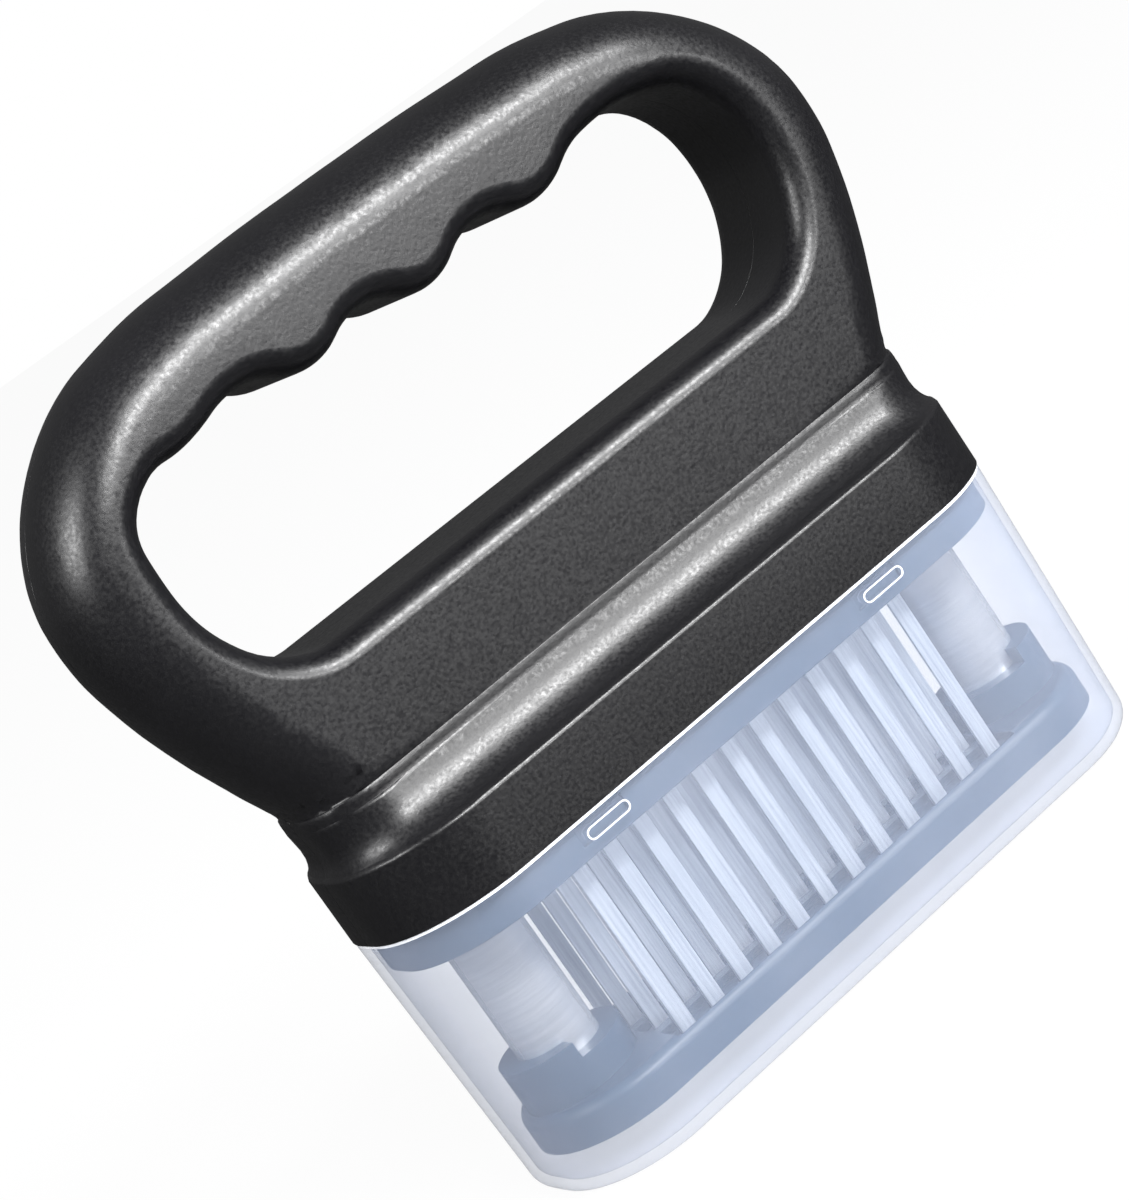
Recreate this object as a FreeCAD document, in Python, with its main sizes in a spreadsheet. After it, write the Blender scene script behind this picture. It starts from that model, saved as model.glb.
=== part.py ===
import FreeCAD, Part
import math
import os
import re
from FreeCAD import Placement, Rotation, Vector

# Blade meat tenderizer, millimetres.  +Z up, +X along the handle, -Y the front.
# The origin is on the flat underside of the clear cover, below the middle.

doc = FreeCAD.newDocument("tenderizer")
sheet = doc.addObject("Spreadsheet::Sheet", "sizes")

# Driving sizes, each written once
sizes = [
    ("blade_pitch", 5.5), ("row_pitch", 7.5), ("blade_width", 2.4), ("blade_thickness", 0.6),
    ("blade_head_width", 3.7), ("blade_head_height", 2.4), ("blade_tip_z", 6.6),
    ("blade_bevel", 2.6), ("slot_play", 0.2), ("guard_slot_play", 0.5),
    ("carrier_end", 1.1), ("carrier_side", 2.95), ("carrier_height", 5.0),
    ("clamp_height", 2.0), ("clamp_screw_x", 22.0),
    ("tube_radius", 5.75), ("tube_wall", 0.8), ("tube_above_bush", 3.2), ("tube_clearance", 0.44),
    ("run_gap", 0.06), ("press_gap", 0.02), ("bush_wall", 1.8), ("bush_flange", 1.0),
    ("bush_above_plate", 4.0), ("clip_height", 1.0), ("clip_reach", 1.3),
    ("guard_z", 5.5), ("guard_height", 5.5), ("guard_end", 9.95), ("guard_side", 0.4),
    ("guard_edge_round", 1.8), ("trough_depth", 1.2),
    ("socket_radius", 8.7), ("socket_height", 4.6), ("socket_lip", 2.4), ("socket_floor", 3.0),
    ("cover_end", 13.55), ("cover_side", 4.7), ("cover_corner_inset", 2.0),
    ("cover_height", 43.2), ("cover_draft", 1.2), ("cover_wall", 1.2), ("cover_floor", 1.6),
    ("cover_edge_round", 3.2), ("snap_x", 26.0), ("snap_drop", 2.6), ("snap_length", 7.4),
    ("snap_height", 1.8), ("snap_depth", 0.45), ("snap_pocket_depth", 0.8),
    ("seat_gap", 0.1), ("band_lip", 0.2), ("band_height", 10.6), ("cove_height", 8.6),
    ("shell_wall", 2.6), ("body_inset", 6.8), ("edge_round", 9.3), ("opening_round", 3.4),
    ("neck_inset", 0.9), ("opening_inset", 3.0), ("opening_rise", 36.0), ("handle_rise", 84.7),
    ("chamber_inset", 4.8), ("chamber_rise", 31.7),
    ("skirt_drop", 5.7), ("skirt_inset", 2.0), ("spigot_height", 2.7), ("spigot_gap", 0.2),
    ("plug_height", 4.4), ("spring_mean_radius", 3.9), ("spring_wire", 1.0),
    ("spring_gap", 0.05), ("pin_radius", 2.5), ("pin_length", 11.0),
    ("pin_flange", 6.0), ("pin_flange_height", 1.6),
    ("screw_radius", 1.45), ("screw_head_radius", 2.8), ("screw_head_height", 1.7),
    ("screw_gap", 0.05), ("boss_radius", 3.9), ("handle_screw_reach", 7.5),
    ("pocket_radius", 3.0), ("grip_screw_x", 31.6), ("grip_screw_rise", 76.0),
    ("body_screw_x", 24.0), ("body_screw_rise", 25.2), ("plate_screw_y", 12.6),
]
for row, (name, value) in enumerate(sizes, 1):
    sheet.set("A%d" % row, name.replace("_", " "))
    sheet.set("B%d" % row, str(value))
    sheet.setAlias("B%d" % row, name)
doc.recompute()


class Sizes:
    """The sheet's values, by name."""


size = Sizes()
for name, value in sizes:
    setattr(size, name, float(sheet.get(name)))

# Sizes that follow from the driving ones, as sheet formulas
derived = [
    ("carrier_half_length", "5.5 * blade_pitch + blade_head_width / 2 + carrier_end"),
    ("carrier_half_depth", "1.5 * row_pitch + carrier_side"),
    ("bush_radius", "tube_radius + run_gap + bush_wall"),
    ("tube_x", "carrier_half_length + bush_radius + bush_flange + tube_clearance"),
    ("tube_inner", "tube_radius - tube_wall"),
    ("guard_half_length", "tube_x + guard_end"),
    ("guard_half_depth", "carrier_half_depth + guard_side"),
    ("cover_half_length", "tube_x + cover_end"),
    ("cover_half_depth", "guard_half_depth + cover_side"),
    ("cover_corner", "cover_half_depth - cover_corner_inset"),
    ("body_half_depth", "cover_half_depth - body_inset"),
    ("neck_half_length", "cover_half_length - neck_inset"),
    ("opening_half_length", "cover_half_length - opening_inset"),
    ("chamber_half_length", "cover_half_length - chamber_inset"),
    ("band_z", "cover_height + seat_gap"),
    ("snap_z", "cover_height - snap_drop"),
    ("chamber_top_z", "band_z + chamber_rise"),
    ("grip_screw_z", "band_z + grip_screw_rise"),
    ("body_screw_z", "band_z + body_screw_rise"),
    ("plate_z", "band_z - skirt_drop"),
    ("plate_top_z", "band_z + spigot_height"),
    ("carrier_top_z", "plate_top_z + carrier_height"),
    ("clamp_top_z", "carrier_top_z + clamp_height"),
    ("bush_top_z", "plate_top_z + bush_above_plate"),
    ("clip_z", "bush_top_z + seat_gap"),
    ("tube_top_z", "bush_top_z + tube_above_bush"),
    ("guard_top_z", "guard_z + guard_height"),
    ("socket_z", "guard_z + socket_floor"),
    ("plug_top_z", "socket_z + plug_height"),
    ("spring_top_z", "chamber_top_z - pin_flange_height"),
    ("screw_hole", "screw_radius + screw_gap"),
    ("shell_low_z", "clamp_top_z + 0.3"),
]
aliases = [name for name, value in sizes]


def formula(text):
    """Turn a formula on size names into one on the sheet's cells."""
    known = aliases + [name for name, value in derived]
    return re.sub(r"[a-z_]+[a-z0-9_]*", lambda m: "sizes." + m.group(0) if m.group(0) in known
                  else m.group(0), str(text))


for row, (name, text) in enumerate(derived, len(sizes) + 1):
    sheet.set("A%d" % row, name.replace("_", " "))
    sheet.set("B%d" % row, "=" + text)
    sheet.setAlias("B%d" % row, name)
doc.recompute()
for name, text in derived:
    setattr(size, name, float(sheet.get(name)))


# Building blocks bound to the sheet
def bind(item, prop, text):
    """Tie a property of a document object to a formula on size names."""
    item.setExpression(prop, formula(text))


def block(name, x0, x1, y0, y1, z0, z1):
    item = doc.addObject("Part::Box", name)
    for prop, low, high in (("Length", x0, x1), ("Width", y0, y1), ("Height", z0, z1)):
        bind(item, prop, "(%s) - (%s)" % (high, low))
    for axis, low in (("x", x0), ("y", y0), ("z", z0)):
        bind(item, "Placement.Base." + axis, low)
    return item


def post(name, radius, x, y, z0, z1):
    """An upright cylinder."""
    item = doc.addObject("Part::Cylinder", name)
    bind(item, "Radius", radius)
    bind(item, "Height", "(%s) - (%s)" % (z1, z0))
    for axis, text in (("x", x), ("y", y), ("z", z0)):
        bind(item, "Placement.Base." + axis, text)
    return item


def bar(name, radius, x, z, y0, y1):
    """A cylinder lying along +Y."""
    item = doc.addObject("Part::Cylinder", name)
    item.Placement = Placement(Vector(0, 0, 0), Rotation(Vector(1, 0, 0), -90))
    bind(item, "Radius", radius)
    bind(item, "Height", "(%s) - (%s)" % (y1, y0))
    for axis, text in (("x", x), ("y", y0), ("z", z)):
        bind(item, "Placement.Base." + axis, text)
    return item


def fuse(name, items):
    item = doc.addObject("Part::MultiFuse", name)
    item.Shapes = items
    item.Refine = True
    return item


def cut(name, base, tools):
    item = doc.addObject("Part::Cut", name)
    item.Base = base
    item.Tool = tools[0] if len(tools) == 1 else fuse(name + "_tools", tools)
    item.Refine = True
    return item


def common(name, base, tool):
    item = doc.addObject("Part::Common", name)
    item.Base = base
    item.Tool = tool
    return item


def gather(name, items):
    item = doc.addObject("Part::Compound", name)
    item.Links = items
    return item


def shaped(name, shape):
    item = doc.addObject("Part::Feature", name)
    item.Shape = shape
    item.Placement = Placement()
    return item


nodes = []


def node(label, item):
    item.Label = label
    nodes.append(item)
    return item


# Rounded outlines
def roundedWire(a, b, r, z):
    """A rounded rectangle of half sizes a and b in the plane at height z."""
    r = min(r, a - 0.05, b - 0.05)
    k = r * math.sqrt(0.5)
    arcs = []
    for sx, sy in ((1, -1), (1, 1), (-1, 1), (-1, -1)):
        cx, cy = sx * (a - r), sy * (b - r)
        turns = sx * sy > 0
        first = Vector(cx + (sx * r if turns else 0), cy + (0 if turns else sy * r), z)
        last = Vector(cx + (0 if turns else sx * r), cy + (sy * r if turns else 0), z)
        middle = Vector(cx + sx * k, cy + sy * k, z)
        arcs.append((Part.Arc(first, middle, last).toShape(), first, last))
    loop = []
    for i, (arc, first, last) in enumerate(arcs):
        loop.append(arc)
        loop.append(Part.makeLine(last, arcs[(i + 1) % 4][1]))
    return Part.Wire(loop)


def tapered(sections, ruled=True):
    return Part.makeLoft([roundedWire(*section) for section in sections], True, ruled)


def prism(a, b, r, z0, z1):
    return Part.Face(roundedWire(a, b, r, z0)).extrude(Vector(0, 0, z1 - z0))


def edgesAtHeight(shape, z):
    return [e for e in shape.Edges
            if abs(e.BoundBox.ZMin - z) < 1e-4 and abs(e.BoundBox.ZMax - z) < 1e-4]


# Smooth outlines in the upright plane, as chains of tangent arcs
def arcOrLine(start, along, end):
    """The arc that leaves start in the direction along and ends at end, and its last direction."""
    chord = end - start
    half = chord.getAngle(along)
    if half < 1e-4:
        return Part.makeLine(start, end), Vector(along)
    side = Vector(along).cross(chord).normalize()
    turn = Rotation(side, math.degrees(half))
    middle = (start + end) * 0.5
    bulge = side.cross(Vector(chord).normalize()) * (-chord.Length / 2 * math.tan(half / 2))
    arc = Part.Arc(start, middle + bulge, end).toShape()
    return arc, turn.multVec(Vector(chord).normalize())


def smoothEdges(points, y, closed=False):
    """Two arcs between neighbouring points (x, z); a point may carry its own direction."""
    at = [Vector(p[0], y, p[1]) for p in points]
    count = len(at)
    ways = []
    for i, p in enumerate(points):
        if len(p) == 4:
            ways.append(Vector(p[2], 0, p[3]).normalize())
            continue
        before, after = at[i] - at[i - 1], at[(i + 1) % count] - at[i]
        way = before * (1 / before.Length ** 2) + after * (1 / after.Length ** 2)
        ways.append(way.normalize())
    edges = []
    for i in range(count if closed else count - 1):
        p0, p1 = at[i], at[(i + 1) % count]
        t0, t1 = ways[i], ways[(i + 1) % count]
        v = p1 - p0
        bend = 2 * (1 - t0.dot(t1))
        vt = v.dot(t0 + t1)
        if bend < 1e-9:
            reach = v.dot(v) / (4 * v.dot(t1))
        else:
            reach = (math.sqrt(vt * vt + bend * v.dot(v)) - vt) / bend
        joint = (p0 + t0 * reach + p1 - t1 * reach) * 0.5
        first, way = arcOrLine(p0, t0, joint)
        second, way = arcOrLine(joint, way, p1)
        edges += [first, second]
    return edges


# Handle: side outline from the neck to the top, and the finger opening with its grip waves.
# Lengths are shares of the neck's or the opening's half length, heights are above the band's foot.
bandHalfLength = size.cover_half_length + size.band_lip
bandHalfDepth = size.cover_half_depth + size.band_lip
bandTop = size.band_z + size.band_height
neckZ = bandTop + size.cove_height
neckX = size.neck_half_length
openX = size.opening_half_length
bodyDepth = size.body_half_depth
outlineHalf = [(1.0, 19.2, 0.36, 1.0), (1.0583, 26.1), (1.1202, 33.9), (1.1694, 41.9),
               (1.2022, 51.3), (1.1876, 60.7), (1.1148, 68.9), (1.0055, 75.3), (0.8525, 80.5),
               (0.6648, 83.2), (0.3643, 84.4)]
openingHalf = [(1.0, 53.7, 0.0, -1.0), (0.9697, 45.6), (0.8826, 39.1), (0.7348, 36.0, -1.0, 0.0)]
gripWaves = [(-0.964, 63.1), (-0.8826, 66.3), (-0.7576, 66.9), (-0.5663, 68.8), (-0.3769, 65.5),
             (-0.1875, 67.9), (0.0, 64.8), (0.1932, 67.9), (0.3845, 65.5), (0.5871, 69.1),
             (0.767, 69.0), (0.8977, 66.4), (0.9754, 60.9)]


def atSize(points, halfLength):
    """Outline points in millimetres; one with a direction keeps it."""
    return [(x * halfLength, size.band_z + rise) + tuple(way) for x, rise, *way in points]


def mirrored(points):
    """The same points on the other side, in the opposite order."""
    return [(-x, z) + ((way[0], -way[1]) if way else ()) for x, z, *way in points[::-1]]


def handleWire(y):
    right = atSize(outlineHalf, neckX)
    right[0] = (neckX, neckZ, *outlineHalf[0][2:])
    top = (0.0, size.band_z + size.handle_rise, -1.0, 0.0)
    edges = smoothEdges(right + [top] + mirrored(right), y)
    return Part.Wire(edges + [Part.makeLine(Vector(-neckX, y, neckZ), Vector(neckX, y, neckZ))])


def openingWire(y):
    right = atSize(openingHalf, openX)
    return Part.Wire(smoothEdges(right + mirrored(right) + atSize(gripWaves, openX), y, True))


def onFace(edge, low, high, wide):
    """Whether an edge lies on the slab's front or back face inside the given bounds."""
    box = edge.BoundBox
    flat = abs(abs(box.YMin) - slabDepth) < 1e-3 and box.YLength < 1e-3
    return flat and box.ZMin > low and box.ZMax < high and box.XMin > -wide and box.XMax < wide


# The slab is as thin as its round edges allow, then stretched in depth so that they meet
slabDepth = size.edge_round + 0.05
slab = Part.Face(handleWire(-slabDepth)).extrude(Vector(0, 2 * slabDepth, 0))
rims = [e for e in slab.Edges
        if onFace(e, neckZ - 1, neckZ + 100, 2 * neckX) and e.BoundBox.ZMax > neckZ + 0.1]
slab = slab.makeFillet(size.edge_round, rims)
hole = Part.Face(openingWire(-slabDepth - 1)).extrude(Vector(0, 2 * slabDepth + 2, 0))
slab = slab.cut(hole)
openingFloor = size.band_z + size.opening_rise
rims = [e for e in slab.Edges if onFace(e, openingFloor - 1, openingFloor + 34, openX + 0.8)]
slab = slab.makeFillet(size.opening_round, rims)
deepen = FreeCAD.Matrix()
deepen.scale(1, bodyDepth / slabDepth, 1)
upper = slab.transformGeometry(deepen)

# Handle: band above the cover and the cove that narrows it to the body
bandCorner = size.cover_corner + size.band_lip
band = prism(bandHalfLength, bandHalfDepth, bandCorner, size.band_z, bandTop - 0.7)
ledge = bandHalfDepth - 0.8 - bodyDepth
coveSections = [(bandHalfLength, bandHalfDepth, bandCorner, bandTop - 0.7),
                (bandHalfLength - 0.2, bandHalfDepth - 0.2, bandCorner - 0.2, bandTop - 0.2),
                (bandHalfLength - 0.6, bandHalfDepth - 0.6, bandCorner - 0.6, bandTop)]
for share in (0.02, 0.07, 0.15, 0.27, 0.42, 0.6, 0.8, 1.0):
    hug = 1 - math.sqrt(1 - (1 - share) ** 2)
    depth = bodyDepth + ledge * hug
    pinch = 0.9 * math.sin(math.pi * min(1, 1.2 * share)) * (1 - share)
    coveSections.append((neckX - pinch + 0.5 * hug + 0.12, depth + 0.12, depth - 2.4,
                         bandTop + share * size.cove_height))
cove = tapered(coveSections)
whole = upper.fuse([band, cove]).removeSplitter()

# Handle: the hollow inside
wall = size.shell_wall
lowHollow = prism(bandHalfLength - wall, bandHalfDepth - wall, bandCorner - wall,
                  size.band_z - 1, size.shell_low_z)
highHollow = prism(size.chamber_half_length, bodyDepth - wall, size.edge_round - 1.7,
                   size.shell_low_z - 0.5, size.chamber_top_z)
form = shaped("handle_form", whole)
inner = shaped("handle_hollow", lowHollow.fuse([highHollow]))
pockets = []
pocketPlaces = [(1.0455, 40.2), (1.0783, 48.4), (1.0801, 57.0), (1.0401, 65.3), (0.9362, 71.6),
                (0.776, 75.1), (0.3752, 76.7), (0.1858, 76.8)]
for i, (share, rise) in enumerate(pocketPlaces):
    for sx in (-1, 1):
        pockets.append(bar("grip_pocket_%d_%d" % (i, sx + 1), "pocket_radius",
                           "%g * neck_half_length" % (sx * share), "band_z + %g" % rise,
                           "-body_half_depth + 2.3 * shell_wall",
                           "body_half_depth - 2.3 * shell_wall"))
core = fuse("handle_core", [inner] + pockets)
sideReach = ("-2 * cover_half_length", "2 * cover_half_length")
upReach = ("plate_z", "band_z + 2 * handle_rise")
front = block("front_space", *sideReach, "-2 * cover_half_depth", "0", *upReach)
back = block("back_space", *sideReach, "0", "2 * cover_half_depth", *upReach)


def handleShell(label, space, side):
    """One half of the handle; side is -1 at the front and 1 at the back.  The grip is solid
    round its screws, so only the hollow body has screw bosses."""
    bosses = []
    holes = []
    places = [("grip", "grip_screw_x", "grip_screw_z"), ("body", "body_screw_x", "body_screw_z")]
    for where, px, pz in places:
        for sx in (-1, 1):
            x = "%d * %s" % (sx, px)
            tag = "%s_%s%s" % (label, where, "L" if sx < 0 else "R")
            ys = ("-body_half_depth + 1", "0") if side < 0 else ("0", "body_half_depth - 1")
            if where == "body":
                bosses.append(bar(tag + "_boss", "boss_radius", x, pz, *ys))
            if side < 0:
                holes.append(bar(tag + "_hole", "screw_hole", x, pz,
                                 "-handle_screw_reach - 0.5", "1"))
            else:
                holes.append(bar(tag + "_hole", "screw_hole", x, pz, "-1", "body_half_depth"))
                holes.append(bar(tag + "_bore", "screw_head_radius + 0.2", x, pz,
                                 "body_half_depth - 7", "body_half_depth + 5"))
    for sx in (-1, 1):
        x = "%d * tube_x" % sx
        tag = "%s_plate%s" % (label, "L" if sx < 0 else "R")
        ys = ("plate_screw_y - 3.3", "plate_screw_y + 4.6")
        if side < 0:
            ys = ("-plate_screw_y - 4.6", "-plate_screw_y + 3.3")
        bosses.append(block(tag + "_boss", x + " - 3.4", x + " + 3.4", ys[0], ys[1],
                            "plate_top_z", "shell_low_z + 0.5"))
        holes.append(post(tag + "_hole", "screw_hole", x, "%d * plate_screw_y" % side,
                          "plate_top_z - 1", "plate_top_z + 6.5"))
    walls = cut(label + "_walls", common(label + "_half", form, space), [core])
    return node(label, cut(label + "_cut", fuse(label + "_bossed", [walls] + bosses), holes))


handleShell("handle_front_shell", front, -1)
handleShell("handle_back_shell", back, 1)

screws = []
for px, pz in (("grip_screw_x", "grip_screw_z"), ("body_screw_x", "body_screw_z")):
    for sx in (-1, 1):
        x = "%d * %s" % (sx, px)
        tag = "handle_screw_%s_%d" % (px[:4], sx + 1)
        head = bar(tag + "_head", "screw_head_radius", x, pz, "body_half_depth - 7",
                   "body_half_depth - 7 + screw_head_height")
        shank = bar(tag + "_shank", "screw_radius", x, pz, "-handle_screw_reach",
                    "body_half_depth - 6.5")
        screws.append(fuse(tag, [head, shank]))
node("handle_screws", gather("handle_screw_set", screws))

# Base plate: the skirt inside the cover, and the spigot inside the handle band
skirt = prism(bandHalfLength - size.skirt_inset, bandHalfDepth - size.skirt_inset - 0.2,
              bandCorner - size.skirt_inset, size.plate_z, size.band_z)
spigotA = bandHalfLength - wall - size.spigot_gap
spigotB = bandHalfDepth - wall - size.spigot_gap
spigot = prism(spigotA, spigotB, bandCorner - wall - size.spigot_gap, size.band_z,
               size.plate_top_z)
plateForm = shaped("plate_form", skirt.fuse([spigot]).removeSplitter())
rowOffsets = [-1.5, -0.5, 0.5, 1.5]
cuts = []
for i, k in enumerate(rowOffsets):
    y = "%g * row_pitch" % k
    cuts.append(block("plate_slot_%d" % i, "-5.5 * blade_pitch - 2.2", "5.5 * blade_pitch + 2.2",
                      y + " - blade_thickness / 2 - 0.4", y + " + blade_thickness / 2 + 0.4",
                      "plate_z - 1", "plate_top_z + 1"))
for sx in (-1, 1):
    x = "%d * tube_x" % sx
    side = "L" if sx < 0 else "R"
    cuts.append(post("plate_bush_hole" + side, "bush_radius + press_gap", x, "0",
                     "plate_z - 1", "plate_top_z + 1"))
    for sy in (-1, 1):
        y = "%d * plate_screw_y" % sy
        tag = "plate_screw_hole%s%d" % (side, sy + 1)
        cuts.append(post(tag, "screw_hole", x, y, "plate_z - 1", "plate_top_z + 1"))
        cuts.append(post(tag + "_bore", "screw_head_radius + 0.2", x, y, "plate_z - 1",
                         "plate_z + screw_head_height + 0.3"))
        cuts.append(block("snap_pocket%s%d" % (side, sy + 1),
                          "%d * snap_x - snap_length / 2 - 0.4" % sx,
                          "%d * snap_x + snap_length / 2 + 0.4" % sx,
                          "cover_half_depth - 1.8 - snap_pocket_depth" if sy > 0
                          else "-cover_half_depth - 1",
                          "cover_half_depth + 1" if sy > 0
                          else "-cover_half_depth + 1.8 + snap_pocket_depth",
                          "snap_z - snap_height / 2 - 0.4", "snap_z + snap_height / 2 + 0.4"))
carrierScrewX = ("-clamp_screw_x", "0", "clamp_screw_x")
for i, x in enumerate(carrierScrewX):
    cuts.append(post("plate_carrier_hole%d" % i, "screw_hole", x, "0", "plate_z + 2",
                     "plate_top_z + 1"))
node("base_plate", cut("plate", plateForm, cuts))

plateScrews = []
for sx in (-1, 1):
    for sy in (-1, 1):
        x, y = "%d * tube_x" % sx, "%d * plate_screw_y" % sy
        tag = "plate_screw_%d_%d" % (sx + 1, sy + 1)
        head = post(tag + "_head", "screw_head_radius", x, y, "plate_z + 0.3",
                    "plate_z + 0.3 + screw_head_height")
        shank = post(tag + "_shank", "screw_radius", x, y, "plate_z + 1", "plate_top_z + 6")
        plateScrews.append(fuse(tag, [head, shank]))
node("base_plate_screws", gather("plate_screw_set", plateScrews))

# Blade carrier with a slot per blade, and the clamp plate over the blade heads
cuts = []
for i, k in enumerate(rowOffsets):
    y = "%g * row_pitch" % k
    half = "blade_thickness / 2 + slot_play / 2"
    for j in range(12):
        x = "%g * blade_pitch" % (j - 5.5)
        cuts.append(block("carrier_slot_%d_%d" % (i, j),
                          x + " - blade_width / 2 - slot_play / 2",
                          x + " + blade_width / 2 + slot_play / 2",
                          y + " - (%s)" % half, y + " + " + half,
                          "plate_top_z - 1", "carrier_top_z + 1"))
    cuts.append(block("carrier_groove_%d" % i, "-5.5 * blade_pitch - 2.1",
                      "5.5 * blade_pitch + 2.1", y + " - (%s)" % half, y + " + " + half,
                      "carrier_top_z - blade_head_height - 0.1", "carrier_top_z + 1"))
for i, x in enumerate(carrierScrewX):
    cuts.append(post("carrier_hole%d" % i, "screw_hole", x, "0", "plate_top_z - 1",
                     "carrier_top_z + 1"))
carrierBlock = block("carrier_block", "-carrier_half_length", "carrier_half_length",
                     "-carrier_half_depth", "carrier_half_depth", "plate_top_z", "carrier_top_z")
node("blade_carrier", cut("carrier", carrierBlock, cuts))

clampBlock = block("clamp_block", "-carrier_half_length", "carrier_half_length",
                   "-carrier_half_depth", "carrier_half_depth", "carrier_top_z", "clamp_top_z")
holes = [post("clamp_hole%d" % i, "screw_hole", x, "0", "carrier_top_z - 1", "clamp_top_z + 1")
         for i, x in enumerate(carrierScrewX)]
node("blade_clamp_plate", cut("clamp", clampBlock, holes))

clampScrews = []
for i, x in enumerate(carrierScrewX):
    head = post("clamp_screw_head%d" % i, "screw_head_radius", x, "0", "clamp_top_z",
                "clamp_top_z + screw_head_height")
    shank = post("clamp_screw_shank%d" % i, "screw_radius", x, "0", "plate_z + 2.5",
                 "clamp_top_z + 0.5")
    clampScrews.append(fuse("clamp_screw%d" % i, [head, shank]))
node("clamp_screws", gather("clamp_screw_set", clampScrews))


# Blades: a flat strip with a slanted tip and a wider head, twelve to a row
def bladeShape(x, y):
    w, h = size.blade_width / 2, size.blade_head_width / 2
    top = size.carrier_top_z
    neck = top - size.blade_head_height
    tip = size.blade_tip_z
    outline = [(-w, tip + size.blade_bevel), (w, tip), (w, neck), (h, neck), (h, top), (-h, top),
               (-h, neck), (-w, neck)]
    points = [Vector(x + px, y - size.blade_thickness / 2, pz) for px, pz in outline]
    face = Part.Face(Part.makePolygon(points + points[:1]))
    return face.extrude(Vector(0, size.blade_thickness, 0))


for i, k in enumerate(rowOffsets):
    blades = [bladeShape((j - 5.5) * size.blade_pitch, k * size.row_pitch) for j in range(12)]
    node("blade_row_%d" % (i + 1), shaped("blades_%d" % (i + 1), Part.makeCompound(blades)))

# Blade guard: stadium plate, four slotted troughs and two sockets for the tubes
guardForm = prism(size.guard_half_length, size.guard_half_depth, size.guard_half_depth,
                  size.guard_z, size.guard_top_z)
guardForm = guardForm.makeFillet(size.guard_edge_round,
                                 edgesAtHeight(guardForm, size.guard_top_z))
guardPlate = shaped("guard_plate", guardForm)
added = [guardPlate]
cuts = []
for sx in (-1, 1):
    x = "%d * tube_x" % sx
    side = "L" if sx < 0 else "R"
    top = "guard_top_z + socket_height"
    added.append(post("guard_socket" + side, "socket_radius", x, "0", "guard_z + 1", top))
    lip = post("guard_lip_round" + side, "socket_radius", x, "0", "guard_z + 1",
               top + " + socket_lip")
    far = ("tube_x + 1.5", "tube_x + 12") if sx > 0 else ("-tube_x - 12", "-tube_x - 1.5")
    keep = block("guard_lip_space" + side, far[0], far[1], "-12", "12", "guard_z + 1",
                 top + " + socket_lip")
    added.append(common("guard_lip" + side, lip, keep))
    cuts.append(post("guard_bore" + side, "tube_radius + press_gap", x, "0", "socket_z",
                     "guard_top_z + 20"))
    cuts.append(post("guard_screw_hole" + side, "screw_hole", x, "0", "guard_z - 1",
                     "socket_z + 1"))
    cuts.append(post("guard_screw_bore" + side, "screw_head_radius + 0.2", x, "0", "guard_z - 1",
                     "guard_z + screw_head_height - 0.2"))
for i, k in enumerate(rowOffsets):
    y = "%g * row_pitch" % k
    cuts.append(block("guard_trough_%d" % i, "-5.5 * blade_pitch - 2.9",
                      "5.5 * blade_pitch + 2.9", y + " - 2.6", y + " + 2.2" if i == 3
                      else y + " + 2.6", "guard_top_z - trough_depth", "guard_top_z + 1"))
    for j in range(12):
        x = "%g * blade_pitch" % (j - 5.5)
        cuts.append(block("guard_slot_%d_%d" % (i, j),
                          x + " - blade_width / 2 - guard_slot_play / 2",
                          x + " + blade_width / 2 + guard_slot_play / 2",
                          y + " - blade_thickness / 2 - guard_slot_play / 2",
                          y + " + blade_thickness / 2 + guard_slot_play / 2",
                          "guard_z - 1", "guard_top_z + 1"))
node("blade_guard", cut("guard", fuse("guard_added", added), cuts))

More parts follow.
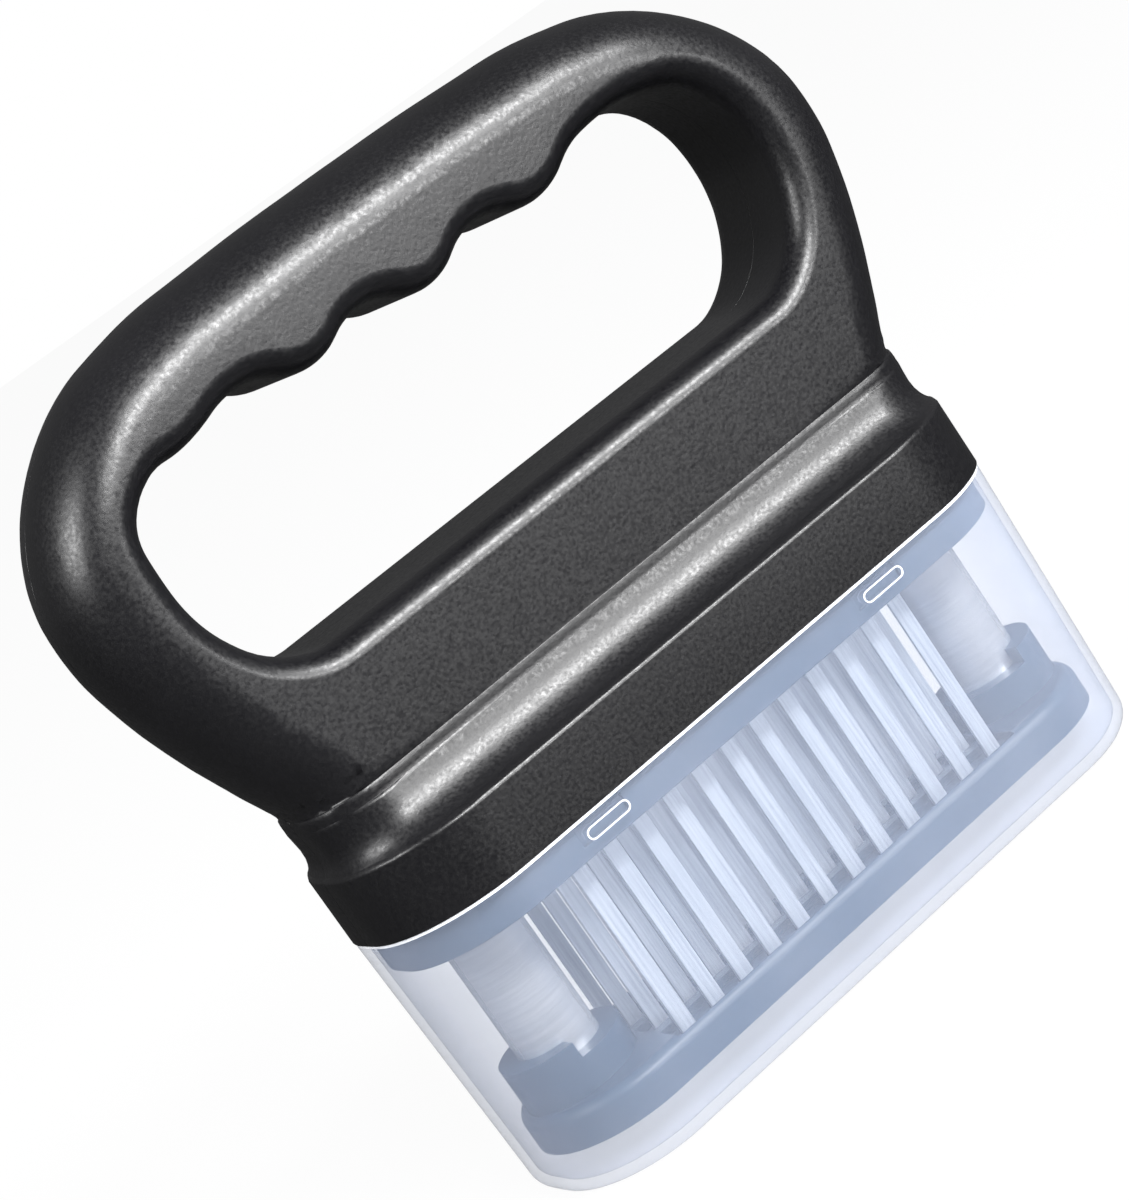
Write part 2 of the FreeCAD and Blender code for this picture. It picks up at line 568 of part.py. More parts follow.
# Slide posts: tubes fixed in the guard, bushes in the base plate, clips, springs and pins
guardScrews = []
for sx, side in ((-1, "left"), (1, "right")):
    x = "%d * tube_x" % sx
    outer = post("tube_outer_" + side, "tube_radius", x, "0", "socket_z", "tube_top_z")
    inside = post("tube_inside_" + side, "tube_inner", x, "0", "socket_z - 1", "tube_top_z + 1")
    groove = cut("clip_groove_" + side,
                 post("groove_outer_" + side, "tube_radius + 1", x, "0", "clip_z - 0.05",
                      "clip_z + clip_height + 0.05"),
                 [post("groove_inner_" + side, "tube_radius - 0.4", x, "0", "clip_z - 1",
                       "clip_z + clip_height + 1")])
    node("post_tube_" + side, cut("tube_" + side, outer, [inside, groove]))

    plug = post("plug_body_" + side, "tube_inner - press_gap", x, "0", "socket_z", "plug_top_z")
    plugHole = post("plug_hole_" + side, "screw_hole", x, "0", "socket_z - 1",
                    "plug_top_z - 0.8")
    node("post_plug_" + side, cut("plug_" + side, plug, [plugHole]))

    bushBody = post("bush_body_" + side, "bush_radius", x, "0", "plate_z + 0.6", "bush_top_z")
    bushFlange = post("bush_flange_" + side, "bush_radius + bush_flange", x, "0", "plate_top_z",
                      "plate_top_z + 1.6")
    bushBore = post("bush_bore_" + side, "tube_radius + run_gap", x, "0", "plate_z - 1",
                    "bush_top_z + 1")
    node("guide_bush_" + side,
         cut("bush_" + side, fuse("bush_outer_" + side, [bushBody, bushFlange]), [bushBore]))

    clip = post("clip_outer_" + side, "tube_radius + clip_reach", x, "0", "clip_z",
                "clip_z + clip_height")
    clipBore = post("clip_bore_" + side, "tube_radius - 0.38", x, "0", "clip_z - 1",
                    "clip_z + clip_height + 1")
    gap = block("clip_gap_" + side, x + " - 1.6", x + " + 1.6", "0", "12", "clip_z - 1",
                "clip_z + clip_height + 1")
    node("stop_clip_" + side, cut("clip_" + side, clip, [clipBore, gap]))

    pinFlange = post("pin_flange_" + side, "pin_flange", x, "0", "spring_top_z",
                     "chamber_top_z")
    pinRod = post("pin_rod_" + side, "pin_radius", x, "0", "spring_top_z - pin_length",
                  "spring_top_z + 0.5")
    node("spring_pin_" + side, fuse("pin_" + side, [pinFlange, pinRod]))

    # each spring is a plain sleeve as wide as its coil, hidden in its tube
    coil = post("coil_outer_" + side, "spring_mean_radius + spring_wire / 2", x, "0", "plug_top_z",
                "spring_top_z - spring_gap")
    space = post("coil_inner_" + side, "spring_mean_radius - spring_wire / 2", x, "0",
                 "plug_top_z - 1", "spring_top_z + 1")
    node("return_spring_" + side, cut("coil_" + side, coil, [space]))

    head = post("guard_screw_head_" + side, "screw_head_radius", x, "0",
                "guard_z", "guard_z + screw_head_height - 0.2")
    shank = post("guard_screw_shank_" + side, "screw_radius", x, "0", "guard_z + 1",
                 "plug_top_z - 1")
    guardScrews.append(fuse("guard_screw_" + side, [head, shank]))
node("guard_screws", gather("guard_screw_set", guardScrews))

# Protective cover: drafted clear box with a rounded bottom edge and four inner snap ribs
def coverSection(inset, z):
    """The cover's outline at a height, drawn in by its draft and by inset."""
    inset += size.cover_draft * (1 - z / size.cover_height)
    return (size.cover_half_length - inset, size.cover_half_depth - inset,
            size.cover_corner - inset, z)


outside = tapered([coverSection(0, 0), coverSection(0, size.cover_height)])
outside = outside.makeFillet(size.cover_edge_round, edgesAtHeight(outside, 0))
inside = tapered([coverSection(size.cover_wall, size.cover_floor),
                  coverSection(size.cover_wall, size.cover_height + 0.01)])
inside = inside.makeFillet(size.cover_edge_round - size.cover_wall,
                           edgesAtHeight(inside, size.cover_floor))
coverForm = outside.cut(inside)
ribs = []
wallFace = coverSection(size.cover_wall, size.snap_z)[1]
straight = size.snap_length - size.snap_height
for sx in (-1, 1):
    for sy in (-1, 1):
        rib = Part.makeBox(straight, size.snap_depth + 0.4, size.snap_height)
        rib.translate(Vector(sx * size.snap_x - straight / 2, wallFace - size.snap_depth,
                             size.snap_z - size.snap_height / 2))
        for end in (-1, 1):
            centre = Vector(sx * size.snap_x + end * straight / 2, wallFace - size.snap_depth,
                            size.snap_z)
            rib = rib.fuse(Part.makeCylinder(size.snap_height / 2, size.snap_depth + 0.4, centre,
                                             Vector(0, 1, 0)))
        if sy < 0:
            rib = rib.mirror(Vector(0, 0, 0), Vector(0, 1, 0))
        ribs.append(rib)
node("protective_cover", shaped("cover", coverForm.fuse(ribs).removeSplitter()))

doc.recompute()

# Checks, then one file for each piece
for item in doc.Objects:
    if "Invalid" in item.State or "Error" in item.State:
        raise RuntimeError("not built: %s %s" % (item.Name, item.State))
os.makedirs("parts", exist_ok=True)
for item in nodes:
    shape = item.Shape
    if shape.isNull() or not shape.isValid() or not shape.Solids:
        raise RuntimeError("bad shape: " + item.Label)
    box = shape.optimalBoundingBox(False)
    print("%-22s solids %2d  volume %9.1f  x %6.1f %6.1f  y %6.1f %6.1f  z %6.1f %6.1f" % (
        item.Label, len(shape.Solids), shape.Volume, box.XMin, box.XMax, box.YMin, box.YMax,
        box.ZMin, box.ZMax))
    shape.exportStep("parts/%s.step" % item.Label)
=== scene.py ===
import math

import bmesh
import bpy
from mathutils import Matrix, Vector


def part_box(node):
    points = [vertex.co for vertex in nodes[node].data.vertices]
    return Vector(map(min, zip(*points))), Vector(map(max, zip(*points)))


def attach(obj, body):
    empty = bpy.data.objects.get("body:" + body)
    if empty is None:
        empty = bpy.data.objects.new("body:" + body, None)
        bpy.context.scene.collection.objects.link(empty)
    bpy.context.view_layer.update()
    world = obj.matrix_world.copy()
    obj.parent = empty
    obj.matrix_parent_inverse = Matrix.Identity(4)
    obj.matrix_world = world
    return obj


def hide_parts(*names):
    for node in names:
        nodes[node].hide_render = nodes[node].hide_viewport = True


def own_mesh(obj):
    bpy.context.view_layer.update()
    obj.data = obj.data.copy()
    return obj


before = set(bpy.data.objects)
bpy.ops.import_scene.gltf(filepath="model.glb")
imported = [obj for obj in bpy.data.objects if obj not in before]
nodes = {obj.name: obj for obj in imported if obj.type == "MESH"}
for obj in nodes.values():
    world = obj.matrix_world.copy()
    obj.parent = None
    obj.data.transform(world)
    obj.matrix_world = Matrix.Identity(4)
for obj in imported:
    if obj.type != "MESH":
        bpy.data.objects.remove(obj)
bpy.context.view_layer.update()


# Small helpers for meshes

meshLook = {
    "doubles": 2e-6,  # points closer than this are one point
    "flatDegrees": 0.4,  # faces this near to one plane are joined
    "cutReach": 1e-7,
    "smoothDegrees": 35.0,
    "normalWeight": 50,
}


def pieceName(node):
    return node.replace("_", "-")


def mergedCopy(node, joinFlats=True):
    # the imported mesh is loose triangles, so the doubles go before anything else
    bm = bmesh.new()
    bm.from_mesh(nodes[node].data)
    bmesh.ops.remove_doubles(bm, verts=bm.verts[:], dist=meshLook["doubles"])
    if joinFlats:
        bmesh.ops.dissolve_limit(bm, angle_limit=math.radians(meshLook["flatDegrees"]),
                                 verts=bm.verts[:], edges=bm.edges[:], delimit={"NORMAL"})
    return bm


def sharpEdges(bm, degrees):
    limit = math.radians(degrees)
    return [e for e in bm.edges if len(e.link_faces) == 2 and e.calc_face_angle(0.0) > limit]


def roundEdges(bm, edges, width, segments=2):
    if edges:
        bmesh.ops.bevel(bm, geom=edges, offset=width, offset_type="OFFSET", segments=segments,
                        profile=0.5, affect="EDGES", material=-1, clamp_overlap=True)


def cutLevel(bm, height):
    # new edges all round at this height, with nothing taken away
    bmesh.ops.bisect_plane(bm, geom=bm.verts[:] + bm.edges[:] + bm.faces[:],
                           dist=meshLook["cutReach"], plane_co=(0.0, 0.0, height),
                           plane_no=(0.0, 0.0, 1.0))


def standUp(bm, verts):
    # a flat circle becomes one that faces the front
    bmesh.ops.rotate(bm, verts=verts, cent=(0.0, 0.0, 0.0),
                     matrix=Matrix.Rotation(math.radians(90.0), 3, "X"))


def makePiece(name, bm, body, materials, replaces=(),
              smoothAngle=meshLook["smoothDegrees"]):
    bmesh.ops.recalc_face_normals(bm, faces=bm.faces[:])
    mesh = bpy.data.meshes.new(name)
    bm.to_mesh(mesh)
    bm.free()
    for face in mesh.polygons:
        face.use_smooth = True
    mesh.set_sharp_from_angle(angle=math.radians(smoothAngle))
    for material in materials:
        mesh.materials.append(material)
    piece = bpy.data.objects.new(name, mesh)
    bpy.context.scene.collection.objects.link(piece)
    weighted = piece.modifiers.new("evenNormals", "WEIGHTED_NORMAL")
    weighted.mode = "FACE_AREA"
    weighted.weight = meshLook["normalWeight"]
    weighted.keep_sharp = True
    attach(piece, body)
    if replaces:
        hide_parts(*replaces)
    return piece


# Small helpers for shader trees

def newMaterial(name):
    material = bpy.data.materials.new(name)
    material.use_nodes = True
    tree = material.node_tree
    return material, tree, tree.nodes["Principled BSDF"]


def addNode(tree, kind, **settings):
    node = tree.nodes.new(kind)
    for setting, value in settings.items():
        setattr(node, setting, value)
    return node


def objectPoint(tree, stretch=(1.0, 1.0, 1.0)):
    source = addNode(tree, "ShaderNodeTexCoord")
    mapping = addNode(tree, "ShaderNodeMapping")
    mapping.inputs["Scale"].default_value = stretch
    tree.links.new(source.outputs["Object"], mapping.inputs["Vector"])
    return mapping.outputs["Vector"]


def noise(tree, point, scale, detail=3.0, roughness=0.5):
    texture = addNode(tree, "ShaderNodeTexNoise")
    texture.inputs["Scale"].default_value = scale
    texture.inputs["Detail"].default_value = detail
    texture.inputs["Roughness"].default_value = roughness
    tree.links.new(point, texture.inputs["Vector"])
    return texture.outputs["Fac"]


def toRange(tree, value, low, high, fromLow=0.0, fromHigh=1.0):
    remap = addNode(tree, "ShaderNodeMapRange")
    remap.inputs["From Min"].default_value = fromLow
    remap.inputs["From Max"].default_value = fromHigh
    remap.inputs["To Min"].default_value = low
    remap.inputs["To Max"].default_value = high
    tree.links.new(value, remap.inputs["Value"])
    return remap.outputs["Result"]


def colourBetween(tree, value, first, second, fromLow=0.3, fromHigh=0.7):
    ramp = addNode(tree, "ShaderNodeValToRGB")
    ramp.color_ramp.elements[0].position = fromLow
    ramp.color_ramp.elements[0].color = (*first, 1.0)
    ramp.color_ramp.elements[1].position = fromHigh
    ramp.color_ramp.elements[1].color = (*second, 1.0)
    tree.links.new(value, ramp.inputs["Fac"])
    return ramp.outputs["Color"]


def colourAndRoughness(tree, shader, pattern, look):
    # one pattern drives both, between the two ends that the look gives
    tree.links.new(colourBetween(tree, pattern, look["dark"], look["light"]),
                   shader.inputs["Base Color"])
    tree.links.new(toRange(tree, pattern, *look["roughness"]), shader.inputs["Roughness"])


def addBump(tree, shader, height, distance, strength):
    bump = addNode(tree, "ShaderNodeBump")
    bump.inputs["Distance"].default_value = distance
    bump.inputs["Strength"].default_value = strength
    tree.links.new(height, bump.inputs["Height"])
    tree.links.new(bump.outputs["Normal"], shader.inputs["Normal"])


# Handle: satin black moulded plastic with a spark-eroded grain

handleLook = {
    "dark": (0.0028, 0.0028, 0.0038),
    "light": (0.0052, 0.0051, 0.0064),
    "flowScale": 34.0,
    "roughness": (0.28, 0.46),
    "gloss": 0.70,
    "grainScale": 1900.0,
    "pitScale": 0.8,  # share of the grain's scale
    "pitSoftness": 0.6,
    "bump": (0.00004, 0.30),  # depth, strength
    "seamWidth": 0.0003,
    "seamReach": 2e-5,  # how far from the middle plane the seam is looked for
    "neckBand": (0.0602, 0.0646),  # heights between which the neck is smoothed
    "neckInner": (0.0522, 0.0112),  # half length and half depth inside which it isn't
    "neckCuts": 8,
    "neckPasses": 10,
    "smoothDegrees": 32.0,
}


def handleMaterial():
    material, tree, shader = newMaterial("satinBlackGrain")
    point = objectPoint(tree)
    grain = noise(tree, point, handleLook["grainScale"], 2.0, 0.55)
    pits = addNode(tree, "ShaderNodeTexVoronoi", feature="SMOOTH_F1")
    pits.inputs["Scale"].default_value = handleLook["grainScale"] * handleLook["pitScale"]
    pits.inputs["Smoothness"].default_value = handleLook["pitSoftness"]
    tree.links.new(point, pits.inputs["Vector"])
    together = addNode(tree, "ShaderNodeMath", operation="ADD")
    tree.links.new(grain, together.inputs[0])
    tree.links.new(pits.outputs["Distance"], together.inputs[1])
    flow = noise(tree, point, handleLook["flowScale"], 3.0)
    colour = colourBetween(tree, flow, handleLook["dark"], handleLook["light"])
    tree.links.new(colour, shader.inputs["Base Color"])
    rough = toRange(tree, grain, *handleLook["roughness"], 0.3, 0.7)
    tree.links.new(rough, shader.inputs["Roughness"])
    shader.inputs["Specular IOR Level"].default_value = handleLook["gloss"]
    addBump(tree, shader, together.outputs["Value"], *handleLook["bump"])
    return material


def seamEdges(bm):
    # the edges round the joint face of a shell, where its two mouldings meet
    found = []
    for edge in bm.edges:
        if len(edge.link_faces) != 2:
            continue
        if max(abs(v.co.y) for v in edge.verts) > handleLook["seamReach"]:
            continue
        flat = [abs(f.normal.y) > 0.999 for f in edge.link_faces]
        if flat[0] != flat[1]:
            found.append(edge)
    return found


def softenNeck(bm):
    # the hollow above the band runs into the body without a step
    low, high = handleLook["neckBand"]
    innerLength, innerDepth = handleLook["neckInner"]
    cuts = handleLook["neckCuts"]
    for i in range(cuts + 1):
        cutLevel(bm, low + (high - low) * i / cuts)
    bmesh.ops.triangulate(bm, faces=[f for f in bm.faces if len(f.verts) > 4])
    outside = []
    for vert in bm.verts:
        across, deep = abs(vert.co.x), abs(vert.co.y)
        if low < vert.co.z < high and deep > 0.0004:  # the seam stays where it is
            if across > innerLength or deep > innerDepth:
                outside.append(vert)
    for i in range(handleLook["neckPasses"]):
        bmesh.ops.smooth_vert(bm, verts=outside, factor=0.5, use_axis_x=True, use_axis_y=True,
                              use_axis_z=False)


def makeHandle():
    black = handleMaterial()
    for node in ("handle_front_shell", "handle_back_shell"):
        bm = mergedCopy(node, joinFlats=False)
        roundEdges(bm, seamEdges(bm), handleLook["seamWidth"])
        softenNeck(bm)
        makePiece(pieceName(node), bm, "handle", [black], [node],
                  handleLook["smoothDegrees"])
    print("handle shells done")


# Slate blue plastic of the base plate and the guard

slateLook = {
    "dark": (0.024, 0.052, 0.092),
    "light": (0.034, 0.066, 0.110),
    "roughness": (0.34, 0.46),
    "mottleScale": 90.0,
    "grainScale": 3000.0,
    "bump": (0.00003, 0.25),
    "sharpDegrees": 50.0,
    "edgeWidth": 0.0003,
    "bodies": {"base_plate": "handle", "blade_guard": "guard"},
}


def slateMaterial():
    material, tree, shader = newMaterial("slatePlastic")
    point = objectPoint(tree)
    mottle = noise(tree, point, slateLook["mottleScale"], 4.0)
    colourAndRoughness(tree, shader, mottle, slateLook)
    grain = noise(tree, point, slateLook["grainScale"], 2.0)
    addBump(tree, shader, grain, *slateLook["bump"])
    return material


def makePlastics():
    slate = slateMaterial()
    for node, body in slateLook["bodies"].items():
        bm = mergedCopy(node)
        roundEdges(bm, sharpEdges(bm, slateLook["sharpDegrees"]), slateLook["edgeWidth"])
        makePiece(pieceName(node), bm, body, [slate], [node])
    print("base plate and guard done")


# Pale bearing plastic of the bushes, the carrier and the clamp plate

paleLook = {
    "dark": (0.40, 0.42, 0.45),
    "light": (0.50, 0.52, 0.55),
    "roughness": (0.35, 0.5),
    "mottleScale": 140.0,
    "grainScale": 2400.0,
    "bump": (0.00003, 0.2),
    "sharpDegrees": 50.0,
    "edgeWidth": 0.0002,
    "nodes": ["blade_carrier", "blade_clamp_plate", "guide_bush_left", "guide_bush_right"],
}


def paleMaterial():
    material, tree, shader = newMaterial("paleBearingPlastic")
    point = objectPoint(tree)
    mottle = noise(tree, point, paleLook["mottleScale"], 4.0)
    colourAndRoughness(tree, shader, mottle, paleLook)
    grain = noise(tree, point, paleLook["grainScale"], 2.0)
    addBump(tree, shader, grain, *paleLook["bump"])
    return material


def makeInnerPlastics():
    pale = paleMaterial()
    for node in paleLook["nodes"]:
        bm = mergedCopy(node)
        roundEdges(bm, sharpEdges(bm, paleLook["sharpDegrees"]), paleLook["edgeWidth"])
        makePiece(pieceName(node), bm, "handle", [pale], [node])
    print("carrier, clamp plate and bushes done")


# Blades: thin strips of bright rolled steel, ground at the tip

bladeLook = {
    "dark": (0.40, 0.45, 0.53),
    "light": (0.60, 0.65, 0.73),
    "roughness": (0.28, 0.42),
    "metal": 0.45,
    "lines": (2600.0, 2600.0, 60.0),  # rolling lines run along the blade
    "bump": (0.00001, 0.2),
    "sharpDegrees": 40.0,
    "edgeWidth": 0.00007,
    "rows": 4,
}


def bladeMaterial():
    material, tree, shader = newMaterial("rolledBladeSteel")
    lines = noise(tree, objectPoint(tree, bladeLook["lines"]), 1.0, 3.0)
    colourAndRoughness(tree, shader, lines, bladeLook)
    shader.inputs["Metallic"].default_value = bladeLook["metal"]
    addBump(tree, shader, lines, *bladeLook["bump"])
    return material


def makeBlades():
    steel = bladeMaterial()
    for row in range(1, bladeLook["rows"] + 1):
        node = f"blade_row_{row}"
        bm = mergedCopy(node)
        edges = sharpEdges(bm, bladeLook["sharpDegrees"])
        roundEdges(bm, edges, bladeLook["edgeWidth"], 1)
        makePiece(pieceName(node), bm, "handle", [steel], [node])
    print("blades done")


# Guide tubes: drawn and polished steel with rolled rims

tubeLook = {
    "dark": (0.74, 0.77, 0.81),
    "light": (0.90, 0.92, 0.95),
    "roughness": (0.16, 0.28),
    "metal": 0.72,
    "lines": (60.0, 60.0, 2200.0),  # polishing lines run round the tube
    "bump": (0.00001, 0.15),
    "rim": 0.00025,
    "rimSegments": 3,
    "wall": 0.0008,
    "steps": 72,
}


def tubeMaterial():
    material, tree, shader = newMaterial("polishedTubeSteel")
    rings = noise(tree, objectPoint(tree, tubeLook["lines"]), 1.0, 3.0)
    colourAndRoughness(tree, shader, rings, tubeLook)
    shader.inputs["Metallic"].default_value = tubeLook["metal"]
    addBump(tree, shader, rings, *tubeLook["bump"])
    return material


def makeTubes():
    steel = tubeMaterial()
    for side in ("left", "right"):
        node = f"post_tube_{side}"
        low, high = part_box(node)
        middle = (low.x + high.x) / 2
        outer = (high.x - low.x) / 2
        inner = outer - tubeLook["wall"]
        bm = bmesh.new()
        corners = [bm.verts.new((middle + radius, 0.0, z)) for radius, z in
                   ((outer, low.z), (outer, high.z), (inner, high.z), (inner, low.z))]
        for first, second in zip(corners, corners[1:] + corners[:1]):
            bm.edges.new((first, second))
        bmesh.ops.bevel(bm, geom=bm.verts[:], offset=tubeLook["rim"], offset_type="OFFSET",
                        segments=tubeLook["rimSegments"], profile=0.5, affect="VERTICES",
                        material=-1)
        bmesh.ops.spin(bm, geom=bm.verts[:] + bm.edges[:], cent=(middle, 0.0, 0.0),
                       axis=(0.0, 0.0, 1.0), angle=2 * math.pi, steps=tubeLook["steps"],
                       use_merge=True)
        bmesh.ops.remove_doubles(bm, verts=bm.verts[:], dist=meshLook["doubles"])
        makePiece(pieceName(node), bm, "guard", [steel], [node])
    print("guide tubes done")


# Screws, plugs, clips, pins and springs in plain bright steel

smallLook = {
    "dark": (0.42, 0.42, 0.43),
    "light": (0.60, 0.60, 0.61),
    "roughness": (0.24, 0.42),
    "markScale": 420.0,
    "bump": (0.00002, 0.2),
    "sharpDegrees": 50.0,
    "edgeWidth": 0.0001,
    "bodies": {
        "handle": ["handle_screws", "base_plate_screws", "clamp_screws", "spring_pin_left",
                   "spring_pin_right"],
        "guard": ["guard_screws", "post_plug_left", "post_plug_right", "stop_clip_left",
                  "stop_clip_right"],
    },
}


def smallMaterial():
    material, tree, shader = newMaterial("brightFastenerSteel")
    point = objectPoint(tree)
    marks = noise(tree, point, smallLook["markScale"], 5.0, 0.6)
    colourAndRoughness(tree, shader, marks, smallLook)
    shader.inputs["Metallic"].default_value = 1.0
    addBump(tree, shader, marks, *smallLook["bump"])
    return material


def makeSmallMetal():
    steel = smallMaterial()
    for body, names in smallLook["bodies"].items():
        for node in names:
            bm = mergedCopy(node)
            roundEdges(bm, sharpEdges(bm, smallLook["sharpDegrees"]), smallLook["edgeWidth"])
            makePiece(pieceName(node), bm, body, [steel], [node])
    print("screws, plugs, clips and pins done")
    return steel


# Return springs: real coils, built at the length of the CAD springs; the real ones shorten
# towards the pins as the guard comes up

springLook = {
    "wire": 0.0005,  # radius
    "endRoom": 1.2,  # wire radii left free at each end
    "turns": 13,
    "stepsPerTurn": 20,
    "wireSides": 8,
    "stroke": 0.018,
}


def makeSprings(steel):
    wire = springLook["wire"]
    steps = springLook["turns"] * springLook["stepsPerTurn"]
    for side in ("left", "right"):
        node = f"return_spring_{side}"
        low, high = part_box(node)
        middle = (low.x + high.x) / 2
        reach = (high.x - low.x) / 2 - wire
        endRoom = springLook["endRoom"] * wire
        length = high.z - low.z - 2 * endRoom
        bm = bmesh.new()
        bmesh.ops.create_circle(bm, cap_ends=False, segments=springLook["wireSides"], radius=wire)
        standUp(bm, bm.verts[:])
        bmesh.ops.translate(bm, verts=bm.verts[:], vec=(middle + reach, 0.0, low.z + endRoom))
        bmesh.ops.spin(bm, geom=bm.verts[:] + bm.edges[:], cent=(middle, 0.0, 0.0),
                       axis=(0.0, 0.0, 1.0), dvec=(0.0, 0.0, length / steps),
                       angle=2 * math.pi * springLook["turns"], steps=steps, use_merge=False)
        bmesh.ops.holes_fill(bm, edges=[e for e in bm.edges if e.is_boundary], sides=0)
        coil = makePiece(pieceName(node), bm, "handle", [steel], [node])
        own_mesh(coil)
    print("springs done")


# Clear cover: thin hazy moulding with a painted highlight along its rim and round four snap marks

coverLook = {
    "tint": (0.40, 0.46, 0.60),
    "tintPale": (0.46, 0.51, 0.64),
    "haze": (0.110, 0.132),
    "edgeHaze": 0.50,  # where the wall is seen nearly edge on
    "edgeBlend": 0.25,
    "cloudScale": 48.0,
    "waveScale": 20.0,
    "roughness": (0.10, 0.20),
    "gloss": 0.7,
    "bump": (0.0002, 0.06),
    # painted highlight: the rim band and the snap marks are near white and nearly opaque, for the
    # light caught along the cover's top edge
    "rimHighlightTint": (0.90, 0.92, 0.96),
    "rimHighlightHaze": (0.72, 0.86),
    "rimHighlightEdgeHaze": 0.95,
    "rimHeight": 0.0004,
    "smoothDegrees": 40.0,
    "markPlace": 0.026,  # from the middle, to each side
    "markDrop": 0.0026,  # below the rim
    "markLength": 0.0074,
    "markHeight": 0.0018,
    "markSides": 32,
    "markLine": 0.0002,
    "markSunk": 0.00005,
    "markProud": 0.00012,
}


def coverMaterial(name, tints, haze, edgeHaze):
    material, tree, shader = newMaterial(name)
    point = objectPoint(tree)
    cloud = noise(tree, point, coverLook["cloudScale"], 4.0)
    tree.links.new(colourBetween(tree, cloud, *tints), shader.inputs["Base Color"])
    tree.links.new(toRange(tree, cloud, *coverLook["roughness"]), shader.inputs["Roughness"])
    middle = toRange(tree, cloud, *haze, 0.3, 0.7)
    facing = addNode(tree, "ShaderNodeLayerWeight")
    facing.inputs["Blend"].default_value = coverLook["edgeBlend"]
    mix = addNode(tree, "ShaderNodeMix", data_type="FLOAT")
    tree.links.new(facing.outputs["Facing"], mix.inputs["Factor"])
    tree.links.new(middle, mix.inputs["A"])
    mix.inputs["B"].default_value = edgeHaze
    tree.links.new(mix.outputs["Result"], shader.inputs["Alpha"])
    shader.inputs["Specular IOR Level"].default_value = coverLook["gloss"]
    waves = noise(tree, point, coverLook["waveScale"], 1.0)
    addBump(tree, shader, waves, *coverLook["bump"])
    return material


def makeSnapMarks(rim):
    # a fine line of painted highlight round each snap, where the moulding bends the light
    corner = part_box("protective_cover")[1]
    z = corner.z - coverLook["markDrop"]
    radius = coverLook["markHeight"] / 2
    straight = coverLook["markLength"] / 2 - radius
    shrink = (1.0 - coverLook["markLine"] / (straight + radius), 1.0,
              1.0 - coverLook["markLine"] / radius)
    bm = bmesh.new()
    for side in (-1.0, 1.0):
        for face in (-1.0, 1.0):
            x = side * coverLook["markPlace"]
            wall = face * (corner.y - coverLook["markSunk"])
            outline = bmesh.ops.create_circle(bm, cap_ends=False, radius=radius,
                                              segments=coverLook["markSides"])["verts"]
            standUp(bm, outline)
            for vert in outline:
                vert.co.x += straight if vert.co.x > 0 else -straight
            bmesh.ops.translate(bm, verts=outline, vec=(x, wall, z))
            ring = list({edge for vert in outline for edge in vert.link_edges})
            grown = bmesh.ops.extrude_edge_only(bm, edges=ring)["geom"]
            inner = [part for part in grown if isinstance(part, bmesh.types.BMVert)]
            bmesh.ops.scale(bm, verts=inner, vec=shrink,
                            space=Matrix.Translation((-x, -wall, -z)))
    bmesh.ops.recalc_face_normals(bm, faces=bm.faces[:])
    bmesh.ops.solidify(bm, geom=bm.faces[:], thickness=coverLook["markProud"])
    makePiece("snap-marks", bm, "cover", [rim])


def makeCover():
    node = "protective_cover"
    clear = coverMaterial("hazyClearPlastic", (coverLook["tint"], coverLook["tintPale"]),
                          coverLook["haze"], coverLook["edgeHaze"])
    rim = coverMaterial("rimPaintedHighlight", (coverLook["rimHighlightTint"], coverLook["rimHighlightTint"]),
                        coverLook["rimHighlightHaze"], coverLook["rimHighlightEdgeHaze"])
    bm = mergedCopy(node)
    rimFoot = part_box(node)[1].z - coverLook["rimHeight"]
    cutLevel(bm, rimFoot)
    # the faces above the rim foot take the painted highlight
    for face in bm.faces:
        if face.calc_center_median().z > rimFoot:
            face.material_index = 1
    makePiece(pieceName(node), bm, "cover", [clear, rim], [node],
              coverLook["smoothDegrees"])
    makeSnapMarks(rim)
    print("cover done")


makeHandle()
makePlastics()
makeInnerPlastics()
makeBlades()
makeTubes()
makeSprings(makeSmallMetal())
makeCover()


# Floor and world: white to the camera, dimmer to gloss and to the light on the tool

stageLook = {
    "floorSize": 6.0,
    "floorDrop": 0.0002,
    "floorColour": (0.86, 0.86, 0.87),
    "floorGlow": 0.94,
    "floorGloss": 0.07,
    "worldLight": 0.30,
    "worldGloss": 0.13,
}


def seenDirectly(tree, path):
    # one for what the camera sees, also through the clear cover
    seen = addNode(tree, "ShaderNodeMath", operation="MAXIMUM")
    tree.links.new(path.outputs["Is Camera Ray"], seen.inputs[0])
    tree.links.new(path.outputs["Is Transmission Ray"], seen.inputs[1])
    return seen.outputs["Value"]


